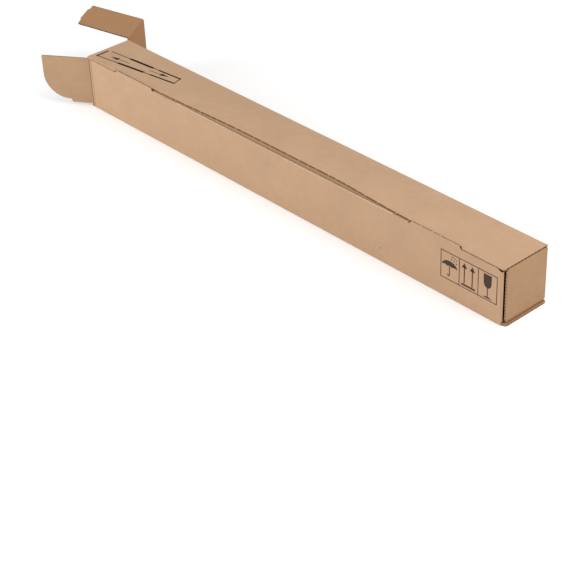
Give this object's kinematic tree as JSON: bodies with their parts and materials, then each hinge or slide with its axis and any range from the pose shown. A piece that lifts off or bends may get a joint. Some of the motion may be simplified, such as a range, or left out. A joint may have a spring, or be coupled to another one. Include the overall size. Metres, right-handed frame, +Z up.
{
  "type": "long square shipping carton",
  "caption": "Long square corrugated carton for rolled plans and posters, with a plugged long seam, one end open with its lid and dust flap swung out, and the other end tucked shut.",
  "frame": {"origin": "centre of the underside of the bottom panel, on the floor", "axes": "+X along the carton towards the shut end, -Y towards the front wall with the long seam, +Z up"},
  "size_m": [1.279, 0.2481, 0.1403],
  "materials": {
    "board_outside": "matt kraft liner",
    "board_lid": "matt kraft liner",
    "board_flap": "matt kraft liner"
  },
  "bodies": {
    "sleeve": {"sleeve": "board_outside"},
    "far_lid": {"far_end_lid": "board_lid"},
    "far_flap": {"far_top_flap": "board_lid"},
    "far_dust": {"far_dust_flap": "board_flap"},
    "near_lid": {"near_end_lid": "board_lid"}
  },
  "joints": [
    {"name": "far_lid_hinge", "type": "hinge", "parent": "sleeve", "child": "far_lid", "pos_m": [-0.5669, 0.0525, 0.0575], "axis": [0, 0, -1], "range_deg": [-147, 33]},
    {"name": "far_top_flap_fold", "type": "hinge", "parent": "far_lid", "child": "far_flap", "pos_m": [-0.5669, 0.0525, 0.1149], "axis": [-0.5446, 0.8387, 0], "range_deg": [-12, 78]},
    {"name": "far_dust_flap_hinge", "type": "hinge", "parent": "sleeve", "child": "far_dust", "pos_m": [-0.562, -0.0525, 0.0575], "axis": [0, 0, 1], "range_deg": [-125, 50]},
    {"name": "near_lid_hinge", "type": "hinge", "parent": "sleeve", "child": "near_lid", "pos_m": [0.5632, 0.0525, 0.0575], "axis": [0, 0, 1], "range_deg": [0, 150]}
  ]
}
